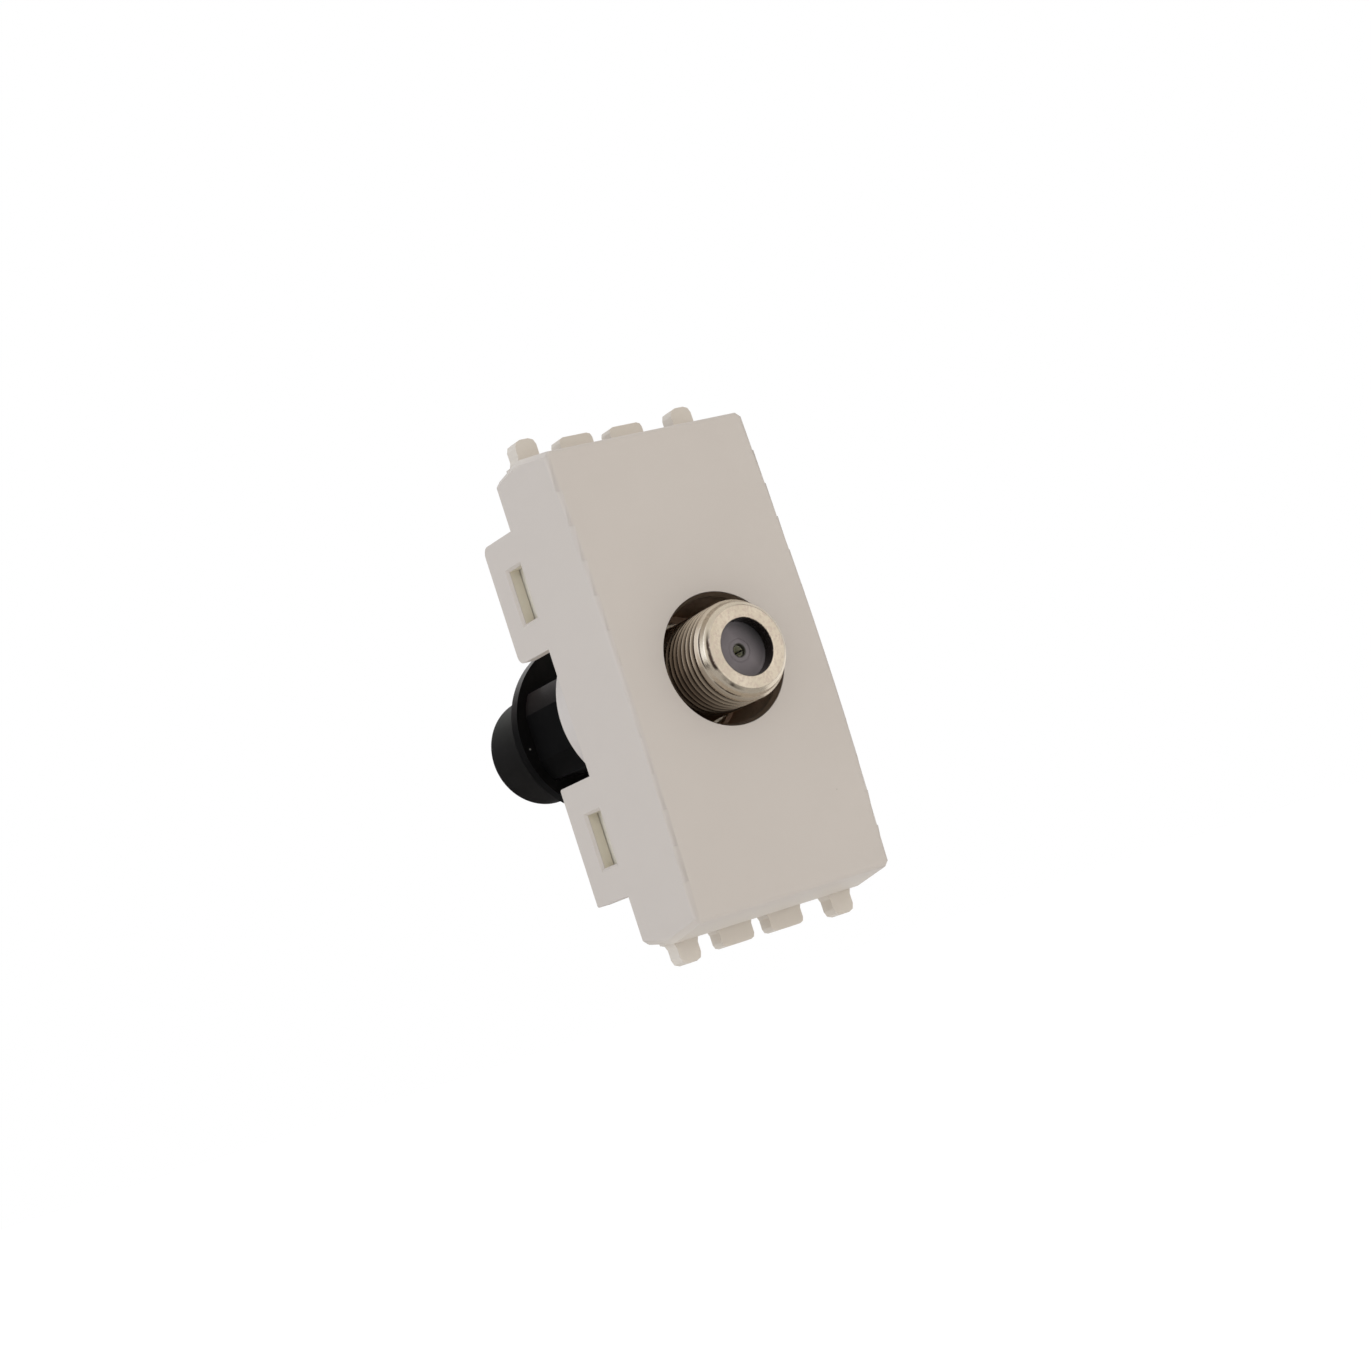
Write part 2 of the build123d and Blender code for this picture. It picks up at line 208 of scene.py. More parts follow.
def openGroup(name, inputs):
    # a node group whose inputs are numbers with these defaults, or a vector where the default is None
    group = bpy.data.node_groups.new(name, "ShaderNodeTree")
    for label, value in inputs.items():
        kind = "NodeSocketVector" if value is None else "NodeSocketFloat"
        socket = group.interface.new_socket(name=label, in_out="INPUT", socket_type=kind)
        if value is not None:
            socket.default_value = value
    return group, addNode(group, "NodeGroupInput", {}).outputs


def closeGroup(group, results):
    for label in results:
        group.interface.new_socket(name=label, in_out="OUTPUT", socket_type="NodeSocketFloat")
    addNode(group, "NodeGroupOutput", results)
    arrange(group)
    return group


def useGroup(tree, group, values):
    node = addNode(tree, "ShaderNodeGroup", {}, node_tree=group)
    fillInputs(tree, node, values)
    return node.outputs


def makeRamp():
    # 0 below Low, 1 above High, a straight line between: (value - low) / (high - low)
    group, given = openGroup("ramp", {"Value": 0.0, "Low": 0.0, "High": 1.0})
    aboveLow = mathNode(group, "SUBTRACT", given["Value"], given["Low"])
    width = mathNode(group, "SUBTRACT", given["High"], given["Low"])
    return closeGroup(group, {"Mask": mathNode(group, "DIVIDE", aboveLow, width, clamp=True)})


ramp = makeRamp()


def rampBetween(tree, value, low, high):
    return useGroup(tree, ramp, {"Value": value, "Low": low, "High": high})["Mask"]


def makeMouldedSkin():
    # spark-eroded grain of a plastic moulding and slow cloudiness of its colour, each one noise
    group, given = openGroup("mouldedSkin", {"Vector": None, "Grain per mm": 6.0, "Cloud size mm": 9.0})
    fineScale = mathNode(group, "MULTIPLY", given["Grain per mm"], perMetre)
    cloudScale = mathNode(group, "DIVIDE", perMetre, given["Cloud size mm"])
    return closeGroup(group, {"Height": noise(group, given["Vector"], fineScale, detail=3),
                              "Clouds": noise(group, given["Vector"], cloudScale, detail=2)})


def makeTurningMarks():
    # fine rings that a lathe leaves: noise of (distance to the Y axis, y, x * wander), and slow tarnish
    group, given = openGroup("turningMarks", {"Vector": None, "Rings per mm": 8.0, "Wander": 0.15})
    tarnishPerMetre = 420
    x, y, z = addNode(group, "ShaderNodeSeparateXYZ", {0: given["Vector"]}).outputs
    squares = mathNode(group, "ADD", product(group, x, x), product(group, z, z))
    distance = mathNode(group, "SQRT", squares)
    wandering = product(group, x, given["Wander"])
    rolled = addNode(group, "ShaderNodeCombineXYZ", {0: distance, 1: y, 2: wandering}).outputs[0]
    ringScale = mathNode(group, "MULTIPLY", given["Rings per mm"], perMetre)
    return closeGroup(group, {
        "Height": noise(group, rolled, ringScale, detail=4),
        "Tarnish": noise(group, given["Vector"], tarnishPerMetre, detail=3),
        "Radius mm": mathNode(group, "MULTIPLY", distance, perMetre),
        "Along mm": mathNode(group, "MULTIPLY", y, perMetre)})


def makeFineGrain():
    # sandy grain of a stamped or cast surface, one noise
    group, given = openGroup("fineGrain", {"Vector": None, "Grain per mm": 6.0})
    scale = mathNode(group, "MULTIPLY", given["Grain per mm"], perMetre)
    return closeGroup(group, {"Height": noise(group, given["Vector"], scale, detail=2)})


def makePlaceMm():
    # where a point lies, in millimetres: |x| across, y into the wall, |z| up or down
    group, given = openGroup("placeMm", {"Vector": None})
    x, y, z = addNode(group, "ShaderNodeSeparateXYZ", {0: given["Vector"]}).outputs
    return closeGroup(group, {
        "Across mm": mathNode(group, "MULTIPLY", mathNode(group, "ABSOLUTE", x), perMetre),
        "Depth mm": mathNode(group, "MULTIPLY", y, perMetre),
        "Height mm": mathNode(group, "MULTIPLY", mathNode(group, "ABSOLUTE", z), perMetre)})


placeMm = makePlaceMm()
frontEdges = {"halfWidth": cadBox[1][0] / mm, "bowPerMm": 0.001893, "sideFrom": 0.44, "sideTo": 0.20,
              "faceFrom": 0.34, "faceTo": 0.06}
speckCells = {"perMetre": 260, "bareShare": 0.86, "outer": 0.035, "inner": 0.018}


def makeFrontEdge(shape):
    # where painted shade lies along the long edges of the bowed face: near the side wall * near the face,
    # whose depth is bow * height^2
    group, given = openGroup("frontEdge", {"Vector": None, "Half width mm": shape["halfWidth"],
                                           "Bow per mm": shape["bowPerMm"]})
    place = useGroup(group, placeMm, {"Vector": given["Vector"]})
    bow = product(group, place["Height mm"], place["Height mm"], given["Bow per mm"])
    behindFace = mathNode(group, "SUBTRACT", place["Depth mm"], bow)
    fromSide = mathNode(group, "SUBTRACT", given["Half width mm"], place["Across mm"])
    nearSide = rampBetween(group, fromSide, shape["sideFrom"], shape["sideTo"])
    nearFace = rampBetween(group, behindFace, shape["faceFrom"], shape["faceTo"])
    return closeGroup(group, {"Mask": product(group, nearSide, nearFace)})


def makeSpecks(cells):
    # rare specks: a dot in the middle of each cell whose random number is above the bare share
    group, given = openGroup("specks", {"Vector": None, "Per metre": cells["perMetre"]})
    inputs = {"Vector": given["Vector"], "Scale": given["Per metre"]}
    cell = addNode(group, "ShaderNodeTexVoronoi", inputs).outputs
    draw = addNode(group, "ShaderNodeSeparateColor", {0: cell["Color"]}).outputs[0]
    rare = mathNode(group, "GREATER_THAN", draw, cells["bareShare"])
    dot = rampBetween(group, cell["Distance"], cells["outer"], cells["inner"])
    return closeGroup(group, {"Mask": product(group, rare, dot)})


mouldedSkin = makeMouldedSkin()
turningMarks = makeTurningMarks()
fineGrain = makeFineGrain()
frontEdge = makeFrontEdge(frontEdges)
specks = makeSpecks(speckCells)
print("shader groups made:", len(bpy.data.node_groups))


def newMaterial(name):
    material = bpy.data.materials.new(name)
    material.use_nodes = True
    tree = material.node_tree
    return material, tree, addNode(tree, "ShaderNodeTexCoord", {}).outputs


def setShader(tree, values):
    fillInputs(tree, tree.nodes["Principled BSDF"], values)
    arrange(tree)


def bumpNormal(tree, height, depthMm):
    return addNode(tree, "ShaderNodeBump", {"Height": height, "Distance": depthMm * mm}).outputs[0]


def layTones(tree, colour, layers):
    # each layer's tone covers the colour below it where its mask is 1
    for mask, tone in layers:
        colour = mixColour(tree, mask, colour, tone)
    return colour


def mouldedPlastic(name, look):
    # colour = mix(light, dark, clouds), roughness = rough + roughSpread * clouds, normal from the grain
    material, tree, given = newMaterial(name)
    skin = useGroup(tree, mouldedSkin, {"Vector": given["Object"], "Grain per mm": look["grainPerMm"],
                                        "Cloud size mm": look["cloudMm"]})
    colour = mixColour(tree, skin["Clouds"], look["light"], look["dark"])
    setShader(tree, {
        "Base Color": colour, "Specular IOR Level": look["specular"],
        "Roughness": mathNode(tree, "MULTIPLY_ADD", skin["Clouds"], look["roughSpread"], look["rough"]),
        "Normal": bumpNormal(tree, skin["Height"], look["grainDepthMm"])})
    return material, tree, given, colour


def bodyPlastic(name, look):
    # the moulded plastic with painted light, a paler tone, at its ends and on the shaded walls in the ear
    # windows, painted shade along the front edges and rare specks; a window's mask is the product of the
    # ramps at the six sides of a box round it
    material, tree, given, colour = mouldedPlastic(name, look)
    place = useGroup(tree, placeMm, {"Vector": given["Object"]})
    ends = rampBetween(tree, place["Height mm"], *look["endsHeight"])
    if "endsAcross" in look:
        ends = product(tree, ends, rampBetween(tree, place["Across mm"], *look["endsAcross"]))
    walls = []
    # the window walls' mask: where painted light lies on the shaded walls in the ear windows
    for zone, (low, high) in look["window"].items():
        walls.append(rampBetween(tree, place[zone], low - look["windowSoft"], low))
        walls.append(rampBetween(tree, place[zone], high + look["windowSoft"], high))
    edge = useGroup(tree, frontEdge, {"Vector": given["Object"]})["Mask"]
    dots = useGroup(tree, specks, {"Vector": given["Object"]})["Mask"]
    setShader(tree, {"Base Color": layTones(tree, colour, (
        (ends, look["ends"]), (product(tree, *walls), look["inner"]),
        (edge, look["edge"]), (dots, look["speck"])))})
    return material


whiteLook = {
    "light": (0.555, 0.494, 0.434), "dark": (0.528, 0.468, 0.410), "rough": 0.42, "roughSpread": 0.14,
    "specular": 0.4, "grainPerMm": 7.0, "grainDepthMm": 0.005, "cloudMm": 11.0,
    # painted light: a paler tone on the tabs and the top and bottom faces
    "ends": (0.62, 0.555, 0.475), "endsHeight": (22.4, 23.6),
    # painted shade: a darker tone along the rounded front edges
    "edge": (0.485, 0.43, 0.38), "speck": (0.30, 0.255, 0.205),
    # painted light: a paler tone on the shaded walls seen in the ear windows
    "inner": (0.66, 0.605, 0.49), "windowSoft": 0.05,
    "window": {"Across mm": (8.5, 10.66), "Depth mm": (11.15, 14.15), "Height mm": (9.35, 14.70)},
}
baseLook = {
    **whiteLook, "light": (0.575, 0.520, 0.470), "dark": (0.545, 0.490, 0.440), "cloudMm": 8.0,
    # painted light: a paler tone on the tongues seen through the ear windows
    "ends": (0.68, 0.64, 0.575), "endsHeight": (6.0, 6.5), "endsAcross": (8.0, 8.3),
    # painted shade: a darker tone along the front edges
    "edge": (0.52, 0.465, 0.41),
    # painted light: a paler tone on the shaded walls seen in the ear windows
    "inner": (0.66, 0.61, 0.51), "window": {**whiteLook["window"], "Across mm": (9.4, 10.66)},
}
whiteMoulding = bodyPlastic("whiteMoulding", whiteLook)
baseMoulding = bodyPlastic("baseMoulding", baseLook)


def blackPlastic(name, look):
    # the moulded plastic with rare specks and painted light on what faces up: a ramp of the normal's z
    material, tree, given, colour = mouldedPlastic(name, look)
    facing = addNode(tree, "ShaderNodeSeparateXYZ", {0: given["Normal"]}).outputs
    paintedUpLight = rampBetween(tree, facing[2], *look["paintedUpLightFacing"])
    dots = useGroup(tree, specks, {"Vector": given["Object"]})["Mask"]
    setShader(tree, {"Base Color": layTones(tree, colour, ((paintedUpLight, look["paintedUpLight"]), (dots, look["speck"])))})
    return material


blackLook = {
    "light": (0.0036, 0.0033, 0.0031), "dark": (0.0018, 0.0016, 0.0015), "rough": 0.26, "roughSpread": 0.16,
    "specular": 0.20, "grainPerMm": 5.0, "grainDepthMm": 0.008, "cloudMm": 6.0,
    # painted light: a paler tone on faces that point up
    "paintedUpLightFacing": (0.15, 0.85), "paintedUpLight": (0.030, 0.023, 0.020), "speck": (0.20, 0.19, 0.17),
}
noseLook = {
    **blackLook, "light": (0.0125, 0.0108, 0.0095), "dark": (0.0060, 0.0054, 0.0050), "rough": 0.46,
    # painted light: a paler tone on the nose's faces that point up
    "specular": 0.10, "grainPerMm": 4.0, "grainDepthMm": 0.006, "paintedUpLight": (0.016, 0.0155, 0.012),
}
blackMoulding = blackPlastic("blackMoulding", blackLook)
noseMoulding = blackPlastic("noseMoulding", noseLook)


def liningPlastic(name, look):
    # the moulded plastic with painted light, a paler tone, where it lies deep in the shaded hole, and plain
    # again behind the web
    material, tree, given, colour = mouldedPlastic(name, look)
    depth = useGroup(tree, placeMm, {"Vector": given["Object"]})["Depth mm"]
    deepLight = rampBetween(tree, depth, *look["deepFrom"])
    beforeWeb = rampBetween(tree, depth, *look["plainFrom"])
    setShader(tree, {"Base Color": mixColour(tree, product(tree, deepLight, beforeWeb), colour, look["deepLight"])})
    return material


brownLook = {
    "light": (0.150, 0.105, 0.070), "dark": (0.118, 0.080, 0.053), "rough": 0.50, "roughSpread": 0.12,
    "specular": 0.25, "grainPerMm": 6.0, "grainDepthMm": 0.005, "cloudMm": 4.0,
    # painted light: a paler tone deep in the shaded hole
    "deepLight": (0.50, 0.34, 0.23), "deepFrom": (0.6, 3.4), "plainFrom": (8.6, 8.3),
}
brownMoulding = liningPlastic("brownMoulding", brownLook)


def mouthPlastic(name, look):
    # the moulded plastic with painted shade in the countersink of its hole and painted shade where it meets
    # the mouth's far
    # wall: a ramp of the place along a leaning direction
    material, tree, given, colour = mouldedPlastic(name, look)
    radius = useGroup(tree, turningMarks, {"Vector": given["Object"]})["Radius mm"]
    lean = alongDirection(tree, given["Object"], look["lean"])
    shade = rampBetween(tree, lean, *(value * mm for value in look["shadeAlong"]))
    countersinkShade = rampBetween(tree, radius, *look["sinkRadius"])
    setShader(tree, {"Base Color": layTones(tree, colour, ((shade, look["shade"]), (countersinkShade, look["countersinkShade"])))})
    return material


greyLook = {
    "light": (0.190, 0.163, 0.165), "dark": (0.145, 0.124, 0.127), "rough": 0.42, "roughSpread": 0.15,
    "specular": 0.35, "grainPerMm": 9.0, "grainDepthMm": 0.004, "cloudMm": 2.0,
    # painted shade: darker towards the mouth's far wall
    "lean": (0.88, 0.0, 0.47), "shadeAlong": (0.5, 2.6), "shade": (0.030, 0.027, 0.028),
    # painted shade: darker in the countersink round the hole
    "sinkRadius": (0.74, 0.62), "countersinkShade": (0.030, 0.028, 0.018),
}
naturalLook = {
    "light": (0.74, 0.72, 0.66), "dark": (0.68, 0.66, 0.60), "rough": 0.35, "roughSpread": 0.1,
    "specular": 0.5, "grainPerMm": 9.0, "grainDepthMm": 0.003, "cloudMm": 3.0,
}
sealLook = {
    "light": (0.030, 0.029, 0.028), "dark": (0.016, 0.016, 0.016), "rough": 0.62, "roughSpread": 0.2,
    "specular": 0.35, "grainPerMm": 10.0, "grainDepthMm": 0.008, "cloudMm": 2.5,
}
greyInsulation = mouthPlastic("greyInsulation", greyLook)
naturalInsulation = mouldedPlastic("naturalInsulation", naturalLook)[0]
sealRubber = mouldedPlastic("sealRubber", sealLook)[0]


def platedMetal(name, look):
    # colour = mix(bright, tarnished, tarnish), roughness = rough + roughSpread * tarnish, normal from marks
    material, tree, given = newMaterial(name)
    marks = useGroup(tree, turningMarks, {"Vector": given["Object"], "Rings per mm": look["ringsPerMm"],
                                          "Wander": look["wander"]})
    colour = mixColour(tree, marks["Tarnish"], look["bright"], look["tarnished"])
    rough = mathNode(tree, "MULTIPLY_ADD", marks["Tarnish"], look["roughSpread"], look["rough"])
    setShader(tree, {"Base Color": colour, "Roughness": rough, "Metallic": look["metallic"],
                     "Normal": bumpNormal(tree, marks["Height"], look["markDepthMm"])})
    return material, tree, given["Object"], marks, colour, rough


nickelLook = {
    "bright": (0.66, 0.575, 0.465), "tarnished": (0.46, 0.395, 0.30), "rough": 0.16, "roughSpread": 0.20,
    "metallic": 1.0, "ringsPerMm": 9.0, "wander": 0.12, "markDepthMm": 0.004,
}
steelLook = {
    "bright": (0.56, 0.54, 0.50), "tarnished": (0.40, 0.38, 0.34), "rough": 0.22, "roughSpread": 0.2,
    "metallic": 1.0, "ringsPerMm": 6.0, "wander": 0.3, "markDepthMm": 0.004,
}
contactLook = {
    "bright": (0.88, 0.87, 0.72), "tarnished": (0.74, 0.72, 0.58), "rough": 0.34, "roughSpread": 0.2,
    "metallic": 0.55, "ringsPerMm": 10.0, "wander": 0.2, "markDepthMm": 0.003,
}
nickelPlate = platedMetal("nickelPlate", nickelLook)[0]
plainSteel = platedMetal("plainSteel", steelLook)[0]
contactMetal = platedMetal("contactMetal", contactLook)[0]

barrel = {
    "front": -4.17, "end": 17.05, "crest": 4.7625, "ringRadius": 3.86, "bandEnd": -2.82, "mouth": 2.7,
    "bore": 3.30, "insulatorFront": -2.77, "threadEnd": 13.95, "tail": 4.40,
    # a thread of 60 degrees: its pitch, depth, fade at both ends and the flat shares of crest and root
    "pitch": 0.79375, "depth": 0.487, "fade": 0.35, "crestFlat": 0.14, "rootFlat": 0.16,
    # the flange: its place, width over flats, turn in degrees and cut corners
    "hexFront": 6.55, "hexBack": 8.85, "hexFlats": 10.005, "hexTurn": 17.0, "cornerCut": 0.7,
    "hexBevel": 0.4,
    # the rounded band behind the end ring: (radius, place behind the front, rounding)
    "band": ((4.02, 0.12, 0.05), (4.30, 0.36, 0.16), (4.48, 0.96, 0.05), (4.52, 1.04, 0.04),
             (4.72, 1.26, 0.05)),
    # roundings of the other edges
    "edge": 0.05, "smallEdge": 0.03, "seatEdge": 0.01, "mouthEdge": 0.11, "bandEdge": 0.02, "threadEdge": 0.1,
    "tailEdge": 0.07,
    # the grid: columns round the axis, steps of the arcs and of the straight sides
    "columns": 240, "arcSteps": 3, "threadStep": 0.05, "bevelStep": 0.07, "hiddenStep": 0.1,
    "crestSlack": 0.04, "bevelSlack": 0.02,
}


def connectorMetal(name, look):
    # the plated metal with painted shade on its lower left side, deep in the hole, in the thread's grooves,
    # in the mouth and in two lines round the band, its own tone on the flange, and a sandy end ring; each
    # mask is a ramp of the radius, of the place along the axis or of the place along a leaning direction, or
    # a product of such ramps
    material, tree, place, marks, colour, rough = platedMetal(name, look)
    radius, along = marks["Radius mm"], marks["Along mm"]
    lean = alongDirection(tree, place, look["lean"])

    def leaning(ends):
        return rampBetween(tree, lean, ends[0] * mm, ends[1] * mm)

    leftShade = product(tree, leaning(look["leftShadeLean"]), rampBetween(tree, along, *look["fromCone"]))
    shaded = product(tree, leaning(look["shadedLean"]), rampBetween(tree, along, *look["shadedDepth"]))
    behindBand = rampBetween(tree, along, *look["fromBand"])
    grooveShade = product(tree, rampBetween(tree, radius, *look["grooveShadeRadius"]), behindBand)
    lowSide, broken = leaning(look["lineLean"]), rampBetween(tree, marks["Tarnish"], *look["lineBreaks"])
    layers = [
        (leftShade, look["leftShade"]), (rampBetween(tree, along, *look["holeDepth"]), look["holeShade"]),
        (shaded, look["shaded"]), (grooveShade, look["grooveShade"]),
        (rampBetween(tree, radius, *look["mouthRadius"]), look["mouthShade"]),
        (rampBetween(tree, radius, *look["flangeRadius"]), look["flange"]),
    ]
    for middle, half in look["lines"]:
        away = mathNode(tree, "ABSOLUTE", mathNode(tree, "SUBTRACT", along, middle))
        line = rampBetween(tree, away, half, half * look["lineCore"])
        layers.append((product(tree, line, lowSide, broken), look["shadeLineColour"]))
    endRing = rampBetween(tree, along, *look["ringFront"])
    grains = useGroup(tree, fineGrain, {"Vector": place, "Grain per mm": look["spotPerMm"]})
    spots = rampBetween(tree, grains["Height"], *look["spotLevel"])
    layers.append((product(tree, spots, endRing), look["spots"]))
    sand = useGroup(tree, fineGrain, {"Vector": place, "Grain per mm": look["sandPerMm"]})
    sandHeight = product(tree, sand["Height"], endRing)
    height = mathNode(tree, "MULTIPLY_ADD", sandHeight, look["sandShare"], marks["Height"])
    setShader(tree, {"Base Color": layTones(tree, colour, layers),
                     "Roughness": mathNode(tree, "MULTIPLY_ADD", endRing, look["ringRough"], rough)})
    fillInputs(tree, tree.nodes["Bump"], {"Height": height})
    return material


connectorLook = {
    **nickelLook, "lean": (-0.966, 0.0, -0.259),
    # painted shade: darker on the lower left side behind the cone
    "leftShade": (0.40, 0.325, 0.245), "leftShadeLean": (-2.2, 4.0),
    "fromCone": (barrel["front"] + 1.02, barrel["front"] + 1.12),
    # painted shade: darker further into the hole
    "holeShade": (0.26, 0.20, 0.14), "holeDepth": (-2.4, 4.5),
    # painted shade: darker on the left of the front stretch
    "shaded": (0.135, 0.098, 0.068), "shadedLean": (0.6, 4.4), "shadedDepth": (-2.6, 0.4),
    # painted shade: darker in the thread's grooves
    "grooveShade": (0.045, 0.031, 0.021), "grooveShadeRadius": (barrel["crest"] - 0.05, barrel["crest"] - 0.26),
    "fromBand": (barrel["bandEnd"] - 0.06, barrel["bandEnd"] + 0.06),
    # painted shade: darker on the mouth's inner wall
    "mouthShade": (0.080, 0.068, 0.058), "mouthRadius": (barrel["mouth"] + 0.10, barrel["mouth"] + 0.03),
    "flange": (0.66, 0.58, 0.46), "flangeRadius": (barrel["crest"] + 0.04, barrel["crest"] + 0.12),
    # two lines of painted shade round the lower side of the band: (place along the axis, half width)
    "lines": ((barrel["front"] + 0.13, 0.14), (barrel["front"] + 0.95, 0.11)),
    "lineCore": 0.4, "lineLean": (2.5, 3.4), "lineBreaks": (0.30, 0.44), "shadeLineColour": (0.065, 0.045, 0.034),
    "ringFront": (barrel["front"] + 0.10, barrel["front"] + 0.03), "ringRough": 0.16,
    "sandPerMm": 3.5, "sandShare": 14.0,
    "spots": (0.50, 0.415, 0.335), "spotPerMm": 3.5, "spotLevel": (0.48, 0.62),
}
connectorNickel = connectorMetal("connectorNickel", connectorLook)
print("materials made:", len(bpy.data.materials))

nodeFinish = {
    "front_shell": whiteMoulding, "rear_base": baseMoulding, "connector_carrier": brownMoulding,
    "coax_barrel": nickelPlate, "rear_nut": nickelPlate, "lock_washer": plainSteel,
    "front_insulator": greyInsulation, "rear_insulator": naturalInsulation, "centre_contact": contactMetal,
    "braid_sleeve": plainSteel, "rear_body": blackMoulding, "nose_cap": noseMoulding,
    "clamp_ring": plainSteel, "cable_seal": sealRubber,
}
for nodeName, material in nodeFinish.items():
    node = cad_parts[nodeName]
    node.data.materials.clear()
    node.data.materials.append(material)


def threadCut(along, turn, shape):
    # depth of the groove below the crest: a V with a small flat on its crest and root, run of
    # y / pitch - turn for a right-hand thread, faded out at both ends of each threaded stretch
    run = along / shape["pitch"] - turn
    fromCrest = np.abs(run - np.round(run)) * 2
    slope = 1 - shape["crestFlat"] - shape["rootFlat"]
    groove = np.clip((fromCrest - shape["crestFlat"]) / slope, 0, 1)
    fade = np.zeros_like(along)
    for low, high in ((shape["bandEnd"], shape["hexFront"]), (shape["hexBack"], shape["threadEnd"])):
        starting = np.clip((along - low) / shape["fade"], 0, 1)
        ending = np.clip((high - along) / shape["fade"], 0, 1)
        fade = np.maximum(fade, starting * ending)
    return shape["depth"] * groove * fade


def barrelSection(shape):
    corner = shape["hexFlats"] / math.sqrt(3)
    bevelEnd = shape["hexFront"] + shape["hexBevel"]
    section = roundedSection([
        (shape["mouth"], shape["insulatorFront"], shape["seatEdge"]),
        (shape["mouth"], shape["front"], shape["mouthEdge"]),
        (shape["ringRadius"], shape["front"], shape["edge"]),
        *((radius, shape["front"] + back, rounding) for radius, back, rounding in shape["band"]),
        (shape["crest"], shape["bandEnd"], shape["bandEdge"]),
        (shape["crest"], shape["hexFront"], shape["smallEdge"]),
        (corner - shape["cornerCut"], shape["hexFront"], shape["edge"]),
        (corner, bevelEnd, shape["smallEdge"]),
        (corner, shape["hexBack"], shape["edge"]),
        (shape["crest"], shape["hexBack"], shape["smallEdge"]),
        (shape["crest"], shape["threadEnd"], shape["threadEdge"]),
        (shape["tail"], shape["threadEnd"], shape["edge"]),
        (shape["tail"], shape["end"], shape["tailEdge"]),
        (shape["bore"], shape["end"], shape["tailEdge"]),
        (shape["bore"], shape["insulatorFront"], shape["seatEdge"]),
    ], shape["arcSteps"])
    section = refined(section, shape["bandEnd"], shape["hexFront"], shape["threadStep"])
    section = refined(section, shape["hexFront"] + shape["bevelSlack"], bevelEnd, shape["bevelStep"])
    return refined(section, shape["hexBack"], shape["threadEnd"], shape["hiddenStep"])


def makeBarrel(shape):
    # point(i, k) = (r cos a_k, y_i, r sin a_k), where r is the section's radius less the thread's groove and
    # no more than the flange's flat, half its width / cos(angle from the middle of the flat)
    section = barrelSection(shape)
    angle = np.arange(shape["columns"]) * 2 * math.pi / shape["columns"]
    radius = section[:, :1] + 0 * angle
    along = section[:, 1:] + 0 * angle
    onThread = (np.abs(radius - shape["crest"]) < shape["crestSlack"]) & (along > shape["bandEnd"])
    radius = np.where(onThread, radius - threadCut(along, angle / (2 * math.pi), shape), radius)
    sixth = math.pi / 3
    fromFlat = np.mod(angle - math.radians(shape["hexTurn"]) + sixth / 2, sixth) - sixth / 2
    radius = np.minimum(radius, shape["hexFlats"] / 2 / np.cos(fromFlat))
    return wrapGrid("threadedBarrel", np.stack([radius * np.cos(angle), along, radius * np.sin(angle)], -1))


threadedBarrel = makeBarrel(barrel)
finishPiece(threadedBarrel, connectorNickel, "coax_barrel")
print("barrel made:", len(threadedBarrel.data.polygons), "faces")

insulator = {
    "front": barrel["insulatorFront"], "end": 3.03, "outer": barrel["bore"] - 0.05, "rim": 0.01,
    "hole": 0.55, "lip": 0.45, "room": 0.98,
    # the face with its raised ring: (radius, place behind the front, rounding)
    "face": ((0.55, 0.04, 0.12), (0.85, 0.02, 0.05), (1.00, 0.0, 0.08), (1.15, 0.07, 0.06),
             (2.45, 0.049, 0.2), (2.66, 0.01, 0.02)),
    "rimEdge": 0.02, "endEdge": 0.05, "lipEdge": 0.03, "columns": 120, "arcSteps": 3, "support": 0.08,
}


def makeInsulator(shape):
    # a turned section: the face, the outside, the room for the contact behind and the lip round the hole
    lip = shape["front"] + shape["lip"]
    section = roundedSection([
        *((radius, shape["front"] + back, rounding) for radius, back, rounding in shape["face"]),
        (shape["outer"], shape["front"] + shape["rim"], shape["rimEdge"]),
        (shape["outer"], shape["end"], shape["endEdge"]),
        (shape["room"], shape["end"], shape["endEdge"]),
        (shape["room"], lip, shape["lipEdge"]),
        (shape["hole"], lip, shape["lipEdge"]),
    ], shape["arcSteps"], shape["support"])
    return wrapGrid("mouthInsulator", turned(section, shape["columns"]))


mouthInsulator = makeInsulator(insulator)
finishPiece(mouthInsulator, greyInsulation, "front_insulator")

nose = {
    "front": 27.2, "end": 38.77, "radius": 5.5, "bore": 4.7, "mouth": 3.6, "innerEnd": 36.3, "round": 2.1,
    "edge": 0.12, "innerEdge": 0.05, "columns": 160, "arcSteps": 12, "support": 0.25,
}


def makeNose(shape):
    # a turned section: the outside with its round end, the cable's mouth and the bore over the spigot
    section = roundedSection([
        (shape["bore"], shape["front"], shape["innerEdge"]),
        (shape["radius"], shape["front"], shape["edge"]),
        (shape["radius"], shape["end"], shape["round"]),
        (shape["mouth"], shape["end"], shape["edge"]),
        (shape["mouth"], shape["innerEnd"], shape["innerEdge"]),
        (shape["bore"], shape["innerEnd"], shape["innerEdge"]),
    ], shape["arcSteps"], shape["support"])
    return wrapGrid("roundNose", turned(section, shape["columns"]))


roundNose = makeNose(nose)
finishPiece(roundNose, noseMoulding, "nose_cap")
print("turned pieces made")

stage = {"floorZ": -45.0, "reach": 4000.0, "worldLevel": 0.74, "floorGlow": 0.36, "floorBounce": 0.24,
         "floorColour": 0.85, "floorRough": 0.9}


